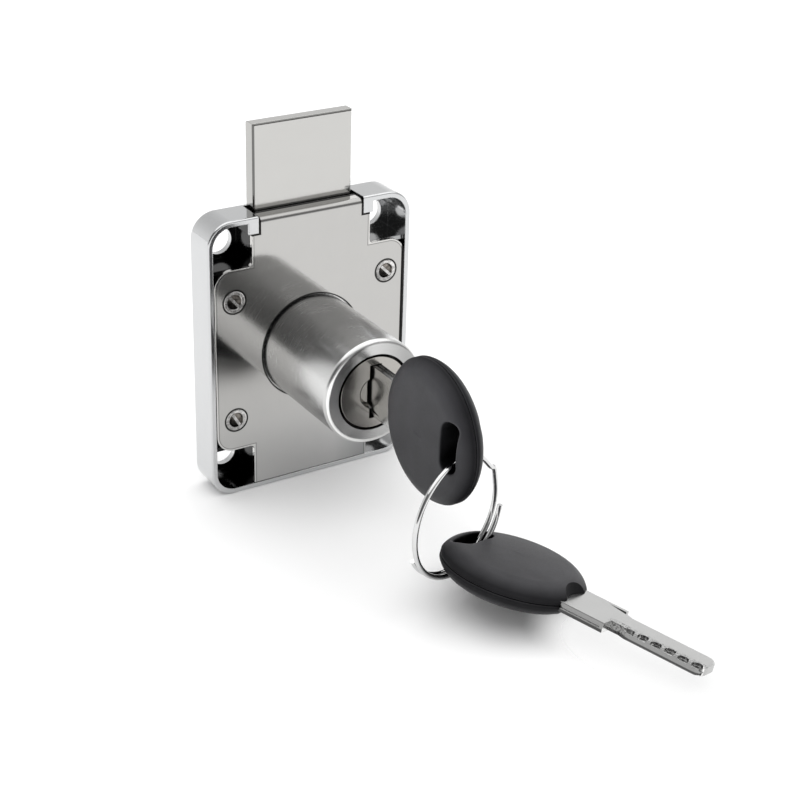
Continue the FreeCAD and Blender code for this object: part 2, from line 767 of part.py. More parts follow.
def make_pinion():
    module = number_of(S.gear_module)
    teeth = int(number_of(S.gear_teeth))
    pitch = number_of(pitch_radius)
    pressure = math.radians(number_of(S.gear_pressure_angle))
    base = pitch * math.cos(pressure)
    tip = pitch + module
    root = pitch - 1.25 * module
    half_tooth = (math.pi * module / 2 - number_of(S.gear_backlash)) / (2 * pitch)
    half_angle = half_tooth + involute_turn(pressure)
    edges = []
    step = 2 * math.pi / teeth
    for k in range(teeth):
        spin = Rotation(Vector(0, -1, 0), math.degrees(step * (k + 0.5)))
        upper = [tooth_flank(base, r, half_angle) for r in (base, (base + tip) / 2, tip)]
        lower = [Vector(p.x, 0, -p.z) for p in upper]
        foot = Vector(root * math.cos(half_angle), 0, root * math.sin(half_angle))
        low_foot = Vector(foot.x, 0, -foot.z)
        gap = Vector(root * math.cos(step / 2), 0, root * math.sin(step / 2))
        next_foot = Vector(root * math.cos(step - half_angle), 0, root * math.sin(step - half_angle))
        pieces = [
            Part.LineSegment(low_foot, lower[0]), Part.Arc(*lower),
            Part.Arc(lower[2], Vector(tip, 0, 0), upper[2]), Part.Arc(*reversed(upper)),
            Part.LineSegment(upper[0], foot), Part.Arc(foot, gap, next_foot)]
        for piece in pieces:
            edge = piece.toShape()
            edge.Placement = Placement(Vector(), spin)
            edges.append(edge)
    face = Part.Face(Part.Wire(Part.__sortEdges__(edges)))
    thickness = number_of(bolt_back - collar_end) - 0.1
    gear = face.extrude(Vector(0, thickness, 0))
    bore_radius = number_of(S.tail_radius + S.fit_gap)
    flat = number_of(S.tail_flat + S.fit_gap)
    bore = Part.makeCylinder(bore_radius, thickness + 2, Vector(0, -1, 0), Vector(0, 1, 0))
    bore = bore.common(Part.makeBox(2 * flat, thickness + 2, 4 * bore_radius,
                                    Vector(-flat, -1, -2 * bore_radius)))
    feature = doc.addObject("Part::Feature", "pinion_shape")
    feature.Shape = gear.cut(bore)
    feature.Placement = Placement(Vector(0, number_of(collar_end), 0), Rotation())
    return keep(feature, "pinion")


# Bolt: a flat plate with a window round the pinion and a rack along the window's left side.

def make_bolt():
    body = new_body("bolt")
    drawing = front_sketch(body, bolt_front)
    rectangle(drawing, -bolt_half, bolt_half, -S.bolt_tail, bolt_rest_top)
    add(body, drawing, S.bolt_thickness)
    chamfer(body, lambda e: near(e.BoundBox.YMax, bolt_front) and middle(e).z > 0
            and not near(e.BoundBox.ZLength, 0), S.bolt_bevel * 0.5)
    fillet(body, lambda e: is_line_along(e, x=1) and near(middle(e).z, bolt_rest_top), S.bolt_bevel)
    gear_pitch = S.gear_module * math.pi
    tip = pitch_radius - S.gear_module
    foot = pitch_radius + S.gear_module * 1.25
    travel = pitch_radius * math.pi
    drawing = front_sketch(body, bolt_front)
    rectangle(drawing, -foot, S.window_half, -S.window_half - 0.1, travel + S.window_half + 0.1)
    cut(body, drawing, S.bolt_thickness + 1)
    # rack teeth, each centred on a multiple of the tooth pitch
    slope = math.tan(math.radians(number_of(S.gear_pressure_angle)))
    half = (gear_pitch / 2 - S.gear_backlash) / 2
    at_tip = half - S.gear_module * slope
    at_foot = half + S.gear_module * (1.25 * slope)
    start = -gear_pitch * 2
    drawing = front_sketch(body, bolt_front)
    outline(drawing, [
        (-foot - 0.2, start - at_foot), (-foot, start - at_foot), (-tip, start - at_tip),
        (-tip, start + at_tip), (-foot, start + at_foot), (-foot - 0.2, start + at_foot)])
    tooth = add(body, drawing, S.bolt_thickness)
    repeat(body, tooth, "Z_Axis", gear_pitch, S.rack_teeth)
    return keep(body, "bolt")


# Keys are drawn in their own frame: X along the blade from the head's middle to the
# tip, Y across the blade, Z through its thickness. The head's centre is a little to
# the +Y side. Two placements set the keys in the lock and on the ring.

inserted_place = Placement(
    Vector(number_of(S.key_side), number_of(key_centre), number_of(S.key_height)),
    Rotation(Vector(1, 1, 1), 120))


def ring_place():
    """Ring's placement: it hangs in the inserted key's head, near upright."""
    hole_end = S.key_height + S.head_shift + S.ring_hole_side - S.ring_hole_length / 2
    top = hole_end + S.ring_rest_gap + S.ring_wire / 2
    along = key_centre - S.ring_hole_place + S.ring_place_along
    centre = Vector(number_of(S.key_side - S.ring_place_side), number_of(along),
                    number_of(top - S.ring_radius))
    turned = Rotation(Vector(0, 0, 1), number_of(S.ring_yaw))
    return Placement(centre, turned * Rotation(Vector(1, 0, 0), 90 + number_of(S.ring_lean)))


def spare_frame():
    """Spare key's placement: its head hangs on the ring, its other face up."""
    yaw, pitch, roll = (math.radians(number_of(a)) for a in (S.spare_yaw, S.spare_pitch, S.spare_roll))
    along = Vector(math.cos(yaw) * math.cos(pitch), math.sin(yaw) * math.cos(pitch), math.sin(pitch))
    side = Vector(-math.sin(yaw), math.cos(yaw), 0)
    across = side * math.cos(roll) + along.cross(side) * math.sin(roll)
    head_centre = ring_place().Base + Vector(
        number_of(S.spare_side), -number_of(S.spare_reach), -number_of(S.spare_drop))
    start = head_centre + across * number_of(S.head_shift)
    return Placement(start, Rotation(along, -across, Vector(), "XYZ"))


spare_place = spare_frame()


def make_blade(label, place):
    """Flat key: tang, neck with a lug, narrow blade with round milled cuts."""
    body = new_body(label)
    half = S.key_thickness / 2
    low, high = -S.blade_low, S.blade_high
    neck = S.neck_half
    tip, bend = S.blade_tip, S.blade_tip_round
    drawing = new_sketch(body, "XY_Plane")
    outline(drawing, [
        (S.neck_start - S.tang_length, -S.tang_half), (S.neck_start, -S.tang_half),
        (S.neck_start, -neck), (S.neck_end - 0.4, -neck), (S.neck_end + 0.2, -neck * 0.66),
        (S.neck_end + 0.9, low), (tip - bend, low, bend, -1), (tip, low + bend),
        (tip, high - bend, bend, -1), (tip - bend, high), (S.neck_end + 3.8, high),
        (S.neck_end + 1.9, high * 0.78), (S.neck_end, high * 0.78), (S.neck_end, neck),
        (S.neck_start, neck), (S.neck_start, S.tang_half),
        (S.neck_start - S.tang_length, S.tang_half)])
    add(body, drawing, S.key_thickness, both=True)
    chamfer(body, lambda e: near(abs(middle(e).z), half) and middle(e).x > number_of(tip - bend)
            and e.BoundBox.ZLength < 1e-6, 0.25)
    # hollow behind the lug
    drawing = new_sketch(body, "XY_Plane", -half)
    outline(drawing, [(S.neck_taper + 0.3, -neck * 0.84), (S.neck_end - 0.5, -neck * 0.84),
                      (S.neck_end, -neck * 0.62)])
    cut(body, drawing, S.cut_depth, back=False)
    # one round cut for each wafer, across the lower edge
    drawing = new_sketch(body, "XY_Plane", -half)
    for k, shift in enumerate(WINDOW_OFFSETS):
        x = wafer_start + S.wafer_thickness / 2 + S.wafer_pitch * k - key_centre
        circle(drawing, x, high - S.cut_radius * 0.35 + shift, S.cut_radius)
    cut(body, drawing, S.cut_depth, back=False)
    # groove along the edge of the neck
    drawing = new_sketch(body, "XZ_Plane", -neck - 1)
    rectangle(drawing, S.neck_start + 1.5, S.neck_end - 0.6, -S.edge_groove / 2, S.edge_groove / 2)
    cut(body, drawing, 1.25, back=False)
    body.Placement = place
    return keep(body, label)


def make_head_shell(label, place, face):
    """Half of the round head; face is 1 or -1 for the half above or below the seam."""
    body = new_body(label)
    seam = S.head_seam / 2 * face
    shoulder = (head_half - S.head_face_drop) * face
    rim = S.head_rim * face
    face_arc = (S.head_face_radius * S.head_face_radius
                + S.head_face_drop * S.head_face_drop) / (S.head_face_drop * 2)
    run = S.head_radius - S.head_face_radius
    climb = head_half - S.head_face_drop - S.head_rim
    rim_arc = root_of(run * run + climb * climb) * 1.06
    drawing = new_sketch(body, "XZ_Plane", -S.head_shift)
    outline(drawing, [
        (0, seam), (S.head_radius - S.head_seam_bevel, seam),
        (S.head_radius, seam + S.head_seam_bevel * face), (S.head_radius, rim, rim_arc, -face),
        (S.head_face_radius, shoulder, face_arc, -face), (0, head_half * face)])
    turn(body, drawing)
    # hole for the split ring
    drawing = new_sketch(body, "XY_Plane")
    hole_half = S.ring_hole_width / 2
    side = S.head_shift + S.ring_hole_side
    straight = S.ring_hole_length / 2 - hole_half
    left, right = -S.ring_hole_place - hole_half, hole_half - S.ring_hole_place
    outline(drawing, [(right, side - straight), (right, side + straight, hole_half, -1),
                      (left, side + straight), (left, side - straight, hole_half, -1)])
    cut(body, drawing, S.head_thickness + 1, both=True)
    # half of the pocket that grips the tang and the neck
    drawing = new_sketch(body, "XY_Plane")
    tang_end = S.neck_start - S.tang_length - S.fit_gap
    tang = S.tang_half + S.fit_gap
    neck = S.neck_half + S.fit_gap
    outline(drawing, [
        (tang_end, -tang), (S.neck_start - S.fit_gap, -tang), (S.neck_start - S.fit_gap, -neck),
        (S.head_radius + 1, -neck), (S.head_radius + 1, neck), (S.neck_start - S.fit_gap, neck),
        (S.neck_start - S.fit_gap, tang), (tang_end, tang)])
    cut(body, drawing, S.key_thickness + S.fit_gap * 2, both=True)
    # scoop that bares the neck
    before = volume_of(body)
    scoop = body.newObject("PartDesign::SubtractiveSphere", body.Name + "_scoop")
    scoop.AttachmentSupport = (plane_of(body, "XY_Plane"), [""])
    scoop.MapMode = "FlatFace"
    bind(scoop, "Radius", S.scoop_radius)
    bind(scoop, "AttachmentOffset.Base.x", S.scoop_place)
    bind(scoop, "AttachmentOffset.Base.z", S.scoop_height * face)
    if volume_of(body) >= before:
        raise ValueError("the scoop cut nothing")
    outer = number_of(head_half) * 0.55
    fillet(body, lambda e: middle(e).z * face > outer and middle(e).x < 0
           and e.BoundBox.XMin > -number_of(S.ring_hole_place + hole_half) - 0.01
           and e.BoundBox.XMax < -number_of(S.ring_hole_place - hole_half) + 0.01, S.head_round)
    body.Placement = place
    return keep(body, label)


# Split ring: a turn and a half of wire. Its ends lie side by side past the single stretch,
# which crosses from the front turn to the back one over the top.

STEP_POINTS = 8


def make_ring():
    radius = number_of(S.ring_radius)
    wire = number_of(S.ring_wire)
    offset = number_of(S.ring_wire + S.ring_turn_gap) / 2

    def point(angle, height):
        a = math.radians(angle)
        return Vector(radius * math.cos(a), radius * math.sin(a), height)

    def way(angle):
        """Direction of the wire, which runs clockwise."""
        a = math.radians(angle)
        return Vector(math.sin(a), -math.cos(a), 0)

    def level_turn(start, end, height):
        """Arcs of one level stretch."""
        arcs = 4
        step = (end - start) / arcs
        return [Part.Arc(point(start + step * k, height), point(start + step * (k + 0.5), height),
                         point(start + step * (k + 1), height)) for k in range(arcs)]

    front_end = number_of(S.ring_front_end)
    step_start = front_end - number_of(S.ring_front_turn)
    step_end = step_start - number_of(S.ring_step_turn)
    back_end = step_end - number_of(S.ring_back_turn)
    crossing = []
    for k in range(STEP_POINTS + 1):
        share = k / STEP_POINTS
        crossing.append(point(step_start + (step_end - step_start) * share,
                              offset * math.cos(math.pi * share)))
    bend = Part.BSplineCurve()
    bend.interpolate(Points=crossing, InitialTangent=way(step_start) * radius,
                     FinalTangent=way(step_end) * radius)
    path = level_turn(front_end, step_start, offset) + [bend]
    path += level_turn(step_end, back_end, -offset)
    spine = Part.Wire([piece.toShape() for piece in path])
    section = Part.Wire([Part.Circle(point(front_end, offset), way(front_end), wire / 2).toShape()])
    feature = doc.addObject("Part::Feature", "split_ring_shape")
    feature.Shape = spine.makePipeShell([section], True, False)
    feature.Placement = ring_place()
    print("ring: gap between its turns", round(2 * offset - wire, 3))
    return keep(feature, "split_ring")


make_case()
make_cover()
make_screws()
make_barrel()
make_plug()
make_clip()
for wafer_index in range(int(number_of(S.wafer_count))):
    make_wafer(wafer_index)
make_wafer_springs()
make_pinion()
make_bolt()
for owner, set_in in (("inserted", inserted_place), ("spare", spare_place)):
    make_blade(f"{owner}_key_blade", set_in)
    make_head_shell(f"{owner}_key_head_upper", set_in, 1)
    make_head_shell(f"{owner}_key_head_lower", set_in, -1)
make_ring()

doc.recompute()
for item in doc.Objects:
    if {"Invalid", "Error"} & set(item.State):
        raise ValueError(f"{item.Label} did not build: {item.State}")
for piece in solids:
    if piece.Shape.isNull() or not piece.Shape.isValid():
        raise ValueError(f"{piece.Label} has no valid shape")
for piece in solids:
    piece.Shape.exportStep(f"parts/{piece.Label}.step")
    print(piece.Label, len(piece.Shape.Solids), round(piece.Shape.Volume, 2))
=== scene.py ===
import math

import bmesh
import bpy
from mathutils import Matrix, Vector


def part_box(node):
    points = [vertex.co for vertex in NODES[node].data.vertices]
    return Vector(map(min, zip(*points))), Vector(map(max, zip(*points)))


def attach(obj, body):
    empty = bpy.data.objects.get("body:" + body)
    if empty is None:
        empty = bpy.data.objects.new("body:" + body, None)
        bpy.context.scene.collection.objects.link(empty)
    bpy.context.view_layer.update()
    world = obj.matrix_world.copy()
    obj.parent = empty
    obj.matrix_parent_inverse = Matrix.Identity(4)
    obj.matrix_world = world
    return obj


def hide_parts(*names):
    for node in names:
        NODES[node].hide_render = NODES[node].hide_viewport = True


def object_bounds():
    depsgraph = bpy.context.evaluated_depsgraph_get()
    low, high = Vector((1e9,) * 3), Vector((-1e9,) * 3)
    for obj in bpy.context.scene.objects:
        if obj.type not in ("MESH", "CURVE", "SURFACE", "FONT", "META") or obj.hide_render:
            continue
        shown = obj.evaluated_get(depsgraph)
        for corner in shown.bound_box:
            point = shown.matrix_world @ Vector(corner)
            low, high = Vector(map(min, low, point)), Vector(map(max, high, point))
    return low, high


# Looks for the drawer lock: chromed case, satin barrel, nickel keys, matte plastic
# key heads, on a white studio floor. Metres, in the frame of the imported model.

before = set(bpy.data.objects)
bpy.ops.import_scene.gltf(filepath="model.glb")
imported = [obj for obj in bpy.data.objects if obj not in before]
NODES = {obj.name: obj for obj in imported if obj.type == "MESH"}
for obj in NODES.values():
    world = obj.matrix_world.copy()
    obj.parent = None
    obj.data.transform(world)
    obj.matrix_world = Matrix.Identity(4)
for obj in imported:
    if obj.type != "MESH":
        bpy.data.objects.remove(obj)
CAD_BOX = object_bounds()
MM = 0.001


# Sizes and places for the shades, in millimetres

CASE_WIDTH = 40.0
CASE_HEIGHT = 52.0
SCREW_X = 15.1
SCREW_Z = 11.3
BARREL_SPAN = 20.0
BARREL_FRONT = -21.4
TRAY_MIDDLE = 3.12
TRAY_REACH = 2.82
TRAY_HALF_X = 19.5
TRAY_HALF_Z = 25.5
TRAY_CORNER = 4.1
LOW_GLINT = (-16.8, -25.0)
HIGH_GLINT = (17.4, 23.0)
LIP_BEND = 25.1
SLOT_DEPTH = 2.3
SLOT_LOW = 25.2
TAB_SIDE = 9.85
TAB_LOW = 22.65
EAR_HALF_X = 18.85
EAR_HALF_Z = 17.2
EAR_CORNER = 3.2
EAR_START = 11.6
DISH_RADIUS = 2.6
DISH_LEFT = 0.4
STRIP_OFFSET = 1.0
BLADE_FACE = 0.83
CUTS_MIDDLE = 27.5
CUTS_REACH = 8.5
CUTS_LOW = 1.0
MARKS_MIDDLE = 1.9
MARKS_REACH = 0.75
BOLT_LINE = 0.34
BOLT_LINE_DEPTH = 0.26
BOLT_FLANK = 0.05


# Node helpers

class Nodes:
    """A small builder round one node tree."""

    def __init__(self, tree):
        self.tree = tree

    def link(self, start, end):
        self.tree.links.new(start, end)

    def feed(self, socket, value):
        """Link an output to the socket, or set the socket's constant."""
        if isinstance(value, bpy.types.NodeSocket):
            self.link(value, socket)
        else:
            socket.default_value = value

    def add(self, kind, **values):
        """New node; keys that start with in_ feed an input, the rest set attributes."""
        node = self.tree.nodes.new(kind)
        for key, value in values.items():
            if key.startswith("in_"):
                name = key[3:]
                place = int(name) if name.isdigit() else name.replace("_", " ")
                self.feed(node.inputs[place], value)
            else:
                setattr(node, key, value)
        return node

    def math(self, operation, first, second=0.0):
        """Arithmetic on sockets or numbers; an operation on one value needs no second."""
        return self.add("ShaderNodeMath", operation=operation, in_0=first, in_1=second).outputs[0]

    def ramp(self, source, stops, smooth=False):
        """Ramp over (place, value) pairs, where a value is a grey level or a colour."""
        node = self.add("ShaderNodeValToRGB", in_0=source)
        if smooth:
            node.color_ramp.interpolation = "EASE"
        marks = node.color_ramp.elements
        while len(marks) < len(stops):
            marks.new(0.5)
        for mark, (place, value) in zip(marks, stops):
            mark.position = place
            mark.color = (value, value, value, 1) if isinstance(value, (int, float)) else (*value, 1)
        return node.outputs[0]

    def blend(self, factor, first, second, mode="MIX"):
        """Colour mix of two sockets or grey levels."""
        colours = [value if isinstance(value, bpy.types.NodeSocket) else (value, value, value, 1)
                   for value in (first, second)]
        node = self.add("ShaderNodeMix", data_type="RGBA", blend_type=mode,
                        in_0=factor, in_6=colours[0], in_7=colours[1])
        return node.outputs[2]

    def product(self, *factors):
        """Product of colours."""
        result = factors[0]
        for factor in factors[1:]:
            result = self.blend(1.0, result, factor, "MULTIPLY")
        return result

    def all_of(self, *masks):
        """1 where every mask is 1, and 0 elsewhere."""
        result = masks[0]
        for mask in masks[1:]:
            result = self.math("MULTIPLY", result, mask)
        return result

    def near(self, value, centre, reach):
        """1 where a value lies less than reach from the centre."""
        away = self.math("ABSOLUTE", self.math("SUBTRACT", value, centre))
        return self.math("LESS_THAN", away, reach)

    def where(self, mask, value):
        """A factor: value where the mask is 1, and 1 elsewhere."""
        return self.ramp(mask, [(0.0, 1.0), (1.0, value)])

    def share(self, value, span, middle=0.5):
        """Place of a value in a span, for a ramp: middle where the value is 0."""
        return self.math("ADD", self.math("MULTIPLY", value, 1 / span), middle)

    def dot(self, source, axis):
        """Part of a vector along an axis."""
        node = self.add("ShaderNodeVectorMath", operation="DOT_PRODUCT", in_0=source, in_1=axis)
        return node.outputs["Value"]

    def noise(self, coords, scale, detail, rough, stretch=(1, 1, 1)):
        mapping = self.add("ShaderNodeMapping", in_Vector=coords, in_Scale=stretch)
        node = self.add("ShaderNodeTexNoise", in_Vector=mapping.outputs[0], in_Scale=scale,
                        in_Detail=detail, in_Roughness=rough)
        return node.outputs["Fac"]


def empty_tree(owner):
    """Node builder for a material or a world, with its default nodes taken out."""
    owner.use_nodes = True
    owner.node_tree.nodes.clear()
    return Nodes(owner.node_tree)


def new_material(name):
    """Material with a Principled shader; returns it, its nodes and the shader."""
    material = bpy.data.materials.new(name)
    kit = empty_tree(material)
    shader = kit.add("ShaderNodeBsdfPrincipled")
    kit.add("ShaderNodeOutputMaterial", in_0=shader.outputs[0])
    return material, kit, shader


def tint(colour, factor):
    return tuple(min(channel * factor, 1.0) for channel in colour)


# Metal and plastic

SMUDGES = 220.0
SPECKS = SMUDGES * 9
METAL_RELIEF = 0.02 * MM
PLASTIC_GRAIN = 5200.0
PLASTIC_CLOUD = 260.0
PLASTIC_RELIEF = 0.04 * MM
CREVICE_REACH = 4.5 * MM
HEAD_FADE = 25.0 * MM


def metal(name, colour, rough, spread, grain, stretch=(1, 1, 1), bump=0.04, wear=0.06,
          shade=None, edge=0.0):
    """Metal with drawn grain, soft smudges and a little wear in its shine.

    shade, when given, is a function that returns a socket by which the colour is multiplied; it holds
    painted light and shade, and some marks and wear.
    edge is the radius of the softened edges.
    """
    material, kit, shader = new_material(name)
    coords = kit.add("ShaderNodeTexCoord").outputs["Object"]
    fine = kit.noise(coords, grain, 3.0, 0.6, stretch)
    broad = kit.noise(coords, SMUDGES, 4.0, 0.6)
    specks = kit.noise(coords, SPECKS, 2.0, 0.7)
    mixed = kit.math("ADD", kit.math("MULTIPLY", fine, 0.55), kit.math("MULTIPLY", broad, 0.45))
    shine = kit.ramp(mixed, [(0.3, max(rough - spread, 0.02)), (0.7, rough + spread)])
    kit.link(shine, shader.inputs["Roughness"])
    tone = kit.ramp(mixed, [(0.32, tint(colour, 1 - wear)), (0.68, tint(colour, 1 + wear))])
    if shade:
        tone = kit.product(tone, shade(kit, coords))
    kit.link(tone, shader.inputs["Base Color"])
    shader.inputs["Metallic"].default_value = 1.0
    height = kit.math("ADD", fine, kit.math("MULTIPLY", specks, 0.3))
    relief = kit.add("ShaderNodeBump", in_Strength=bump, in_Distance=METAL_RELIEF, in_Height=height)
    if edge:
        rounded = kit.add("ShaderNodeBevel", samples=6, in_Radius=edge)
        kit.link(rounded.outputs[0], relief.inputs["Normal"])
    kit.link(relief.outputs[0], shader.inputs["Normal"])
    return material


def flat_normal(node):
    """Normal of the largest face of a flat node."""
    return max(NODES[node].data.polygons, key=lambda face: face.area).normal.copy()


def moulded_plastic(name, colour, rough, axis, band=0.36, turn=(0.45, 0.85)):
    """Matte moulded plastic with a fine spark-eroded grain, and painted shade in its colour and shine.

    The band round the edge, where the normal turns away from axis, is darker than the faces, as painted
    shade: by the factor band, from the second to the first cosine in turn. Crevices, found by occlusion,
    and lower places get painted shade too.
    """
    material, kit, shader = new_material(name)
    places = kit.add("ShaderNodeTexCoord")
    coords = places.outputs["Object"]
    grain = kit.noise(coords, PLASTIC_GRAIN, 3.0, 0.65)
    cloud = kit.noise(coords, PLASTIC_CLOUD, 3.0, 0.5)
    tone = kit.ramp(cloud, [(0.3, tint(colour, 0.88)), (0.7, tint(colour, 1.12))])
    along = kit.math("ABSOLUTE", kit.dot(places.outputs["Normal"], axis))
    facing = kit.ramp(along, [(turn[0], 0.0), (turn[1], 1.0)])
    # painted shade: darker in crevices, from the occlusion node, and lower down
    crevice = kit.add("ShaderNodeAmbientOcclusion", samples=8, in_Distance=CREVICE_REACH)
    painted_crevice_shade = kit.ramp(crevice.outputs["AO"], [(0.45, 0.02), (0.85, 1.0)])
    height = kit.add("ShaderNodeSeparateXYZ", in_0=coords).outputs["Z"]
    painted_height_shade = kit.ramp(kit.share(height, HEAD_FADE, 0.6), [(0.0, 0.52), (1.0, 1.0)])
    painted_low_shade = kit.product(painted_height_shade, painted_crevice_shade)
    darker = kit.product(kit.ramp(facing, [(0.0, band), (1.0, 1.0)]), painted_low_shade)
    kit.link(kit.product(tone, darker), shader.inputs["Base Color"])
    shine_level = kit.product(kit.ramp(facing, [(0.0, 0.07), (1.0, 0.38)]), painted_low_shade)
    kit.link(shine_level, shader.inputs["Specular IOR Level"])
    shine = kit.ramp(grain, [(0.3, rough - 0.07), (0.7, rough + 0.07)])
    kit.link(shine, shader.inputs["Roughness"])
    relief = kit.add("ShaderNodeBump", in_Strength=0.22, in_Distance=PLASTIC_RELIEF, in_Height=grain)
    kit.link(relief.outputs[0], shader.inputs["Normal"])
    return material


# Distances and bands for the shades

def split(kit, coords):
    """The three coordinates in millimetres."""
    parts = kit.add("ShaderNodeSeparateXYZ", in_0=coords)
    return [kit.math("MULTIPLY", parts.outputs[axis], 1 / MM) for axis in "XYZ"]


def length(kit, first, second):
    squares = kit.math("ADD", kit.math("POWER", first, 2.0), kit.math("POWER", second, 2.0))
    return kit.math("SQRT", squares)


def from_point(kit, across, up, point):
    """Distance to a point, seen along Y."""
    return length(kit, kit.math("SUBTRACT", across, point[0]), kit.math("SUBTRACT", up, point[1]))


def bands(kit, distance, *stops):
    """Factor that changes with a distance: pairs of a distance in millimetres and its factor."""
    end = stops[-1][0]
    scaled = [(place / end, value) for place, value in stops]
    return kit.ramp(kit.math("MULTIPLY", distance, 1 / end), scaled)


def round_box(kit, across, up, half_x, half_z, radius):
    """Distance to a rectangle with round corners, seen along Y; negative inside it."""
    beyond = [kit.math("SUBTRACT", kit.math("ABSOLUTE", value), half - radius)
              for value, half in ((across, half_x), (up, half_z))]
    outside = length(kit, *(kit.math("MAXIMUM", value, 0.0) for value in beyond))
    inside = kit.math("MINIMUM", kit.math("MAXIMUM", *beyond), 0.0)
    return kit.math("SUBTRACT", kit.math("ADD", outside, inside), radius)


# Shade of the case

def painted_tray_shade(kit, coords):
    """Painted shade inside the case: 1 outside it, darkest on the left, with painted glints in two
    corners.
    """
    across, depth, up = split(kit, coords)
    outline = round_box(kit, across, up, TRAY_HALF_X, TRAY_HALF_Z, TRAY_CORNER)
    inside = kit.all_of(kit.math("LESS_THAN", outline, 0.0), kit.near(depth, TRAY_MIDDLE, TRAY_REACH))
    # painted glints: highlights painted into the lower left and upper right corners
    low_glint = bands(kit, from_point(kit, across, up, LOW_GLINT), (1.0, 0.8), (2.0, 0.0), (4.0, 0.0))
    high_glint = bands(kit, from_point(kit, across, up, HIGH_GLINT), (1.6, 1.6), (2.4, 0.0), (4.0, 0.0))
    glints = kit.math("MAXIMUM", low_glint, high_glint)
    # painted shade on the inner wall, darkest on the left
    wall = kit.ramp(kit.share(across, CASE_WIDTH), [(0.45, 0.04), (0.55, 0.58)])
    return kit.blend(inside, 1.0, kit.math("MAXIMUM", wall, glints))


# Shade of the cover plate

def painted_joint_shade(kit, across, up):
    """Painted shade in the joints round the screws and the barrel and along the right edge, and in the
    lip's crease.
    """
    away = [kit.math("SUBTRACT", kit.math("ABSOLUTE", value), centre)
            for value, centre in ((across, SCREW_X), (up, SCREW_Z))]
    # painted shade: countersinks round the screws, gap round the barrel, gap at the right edge, crease
    # under the lip
    screws = bands(kit, length(kit, *away), (2.26, 0.06), (2.36, 1.0), (4.0, 1.0))
    barrel = bands(kit, length(kit, across, up), (9.95, 0.04), (10.02, 1.0), (20.0, 1.0))
    edge = bands(kit, across, (18.30, 1.0), (18.36, 0.03), (20.0, 0.03))
    crease = bands(kit, up, (24.85, 1.0), (24.9, 0.4), (LIP_BEND, 0.4), (25.15, 1.0), (26.0, 1.0))
    return kit.product(screws, barrel, edge, crease)


def lip_painted_light_and_shade(kit, across, depth, up):
    """Painted light on the top of the bent lip and painted shade on its bend; painted shade in the slot
    and beside the tabs.
    """
    # painted light on the lip's top, painted shade on its bend
    bent = bands(kit, depth, (0.7, 0.75), (1.0, 1.8), (3.0, 1.8))
    lip = kit.blend(kit.math("GREATER_THAN", up, LIP_BEND), 1.0, bent)
    in_slot = kit.all_of(kit.math("GREATER_THAN", depth, SLOT_DEPTH),
                         kit.math("GREATER_THAN", up, SLOT_LOW))
    beside_tab = kit.all_of(kit.math("GREATER_THAN", kit.math("ABSOLUTE", across), TAB_SIDE),
                            kit.math("GREATER_THAN", up, TAB_LOW))
    return kit.product(lip, kit.where(in_slot, 0.04), kit.where(beside_tab, 0.05))


def cover_low_painted_shade(kit, across, up):
    """Lower part, a little cooler in tone, slightly lighter on the left and dark at its right, as painted
    light and shade.
    """
    low = kit.ramp(kit.share(up, CASE_HEIGHT), [(0.1, 1.0), (0.35, 0.0)])
    # painted light on the left of the lower part and painted shade on its right
    colours = kit.ramp(kit.share(across, CASE_WIDTH), [
        (0.05, (1.06, 1.07, 1.08)), (0.62, (1.02, 1.03, 1.05)),
        (0.85, (0.50, 0.52, 0.54)), (1.0, (0.47, 0.49, 0.51))])
    return kit.blend(low, 1.0, colours)


def rim_painted_lines(kit, across, up):
    """Painted shade line and painted highlight along the edge of the plate's ears."""
    outline = round_box(kit, across, up, EAR_HALF_X, EAR_HALF_Z, EAR_CORNER)
    ear = kit.math("MINIMUM", outline, kit.math("SUBTRACT", kit.math("ABSOLUTE", across), EAR_START))
    return bands(kit, kit.math("ADD", ear, 1.0), (0.55, 1.0), (0.6, 0.55), (0.72, 0.55),
                 (0.78, 1.3), (1.0, 1.3))


def cover_shade(kit, coords):
    """Painted light and shade of the cover plate, at its joints, bent lip, lower part and rim."""
    across, depth, up = split(kit, coords)
    return kit.product(painted_joint_shade(kit, across, up), lip_painted_light_and_shade(kit, across, depth, up),
                       cover_low_painted_shade(kit, across, up), rim_painted_lines(kit, across, up))


# Shades of the screws, barrel and plug

def screw_shade(painted_light_stops, wear_stops):
    """Worn metal of the screw heads or of their recess, with painted light to the upper right of each
    screw.
    """
    def shade(kit, coords):
        across, _, up = split(kit, coords)
        own = [kit.math("SUBTRACT", value, kit.math("MULTIPLY", kit.math("SIGN", value), centre))
               for value, centre in ((across, SCREW_X), (up, SCREW_Z))]
        # painted light: lighter to the upper right of each screw
        painted_light_slant = kit.math("ADD", kit.math("MULTIPLY", kit.math("ADD", *own), 0.18), 0.5)
        worn = kit.noise(coords, 1500.0, 2.0, 0.6)
        return kit.product(kit.ramp(painted_light_slant, painted_light_stops), kit.ramp(worn, wear_stops))

    return shade


def barrel_shade(kit, coords):
    """Painted shade in the bore and on the underside, painted light on the top; the front ring has painted
    light on its left and painted shade on its right.
    """
    across, depth, up = split(kit, coords)
    bore = bands(kit, length(kit, across, up), (6.92, 0.03), (6.98, 1.0), (10.0, 1.0))
    # painted shade low on the barrel, painted light on its top
    wall = kit.ramp(kit.share(up, BARREL_SPAN), [(0.0, 0.78), (0.4, 0.84), (0.65, 1.12), (1.0, 1.12)])
    ring = kit.ramp(kit.share(across, BARREL_SPAN), [(0.1, 1.6), (0.5, 1.0), (0.8, 0.62)])
    in_front = kit.math("LESS_THAN", depth, BARREL_FRONT)
    return kit.product(bore, kit.blend(in_front, wall, ring))


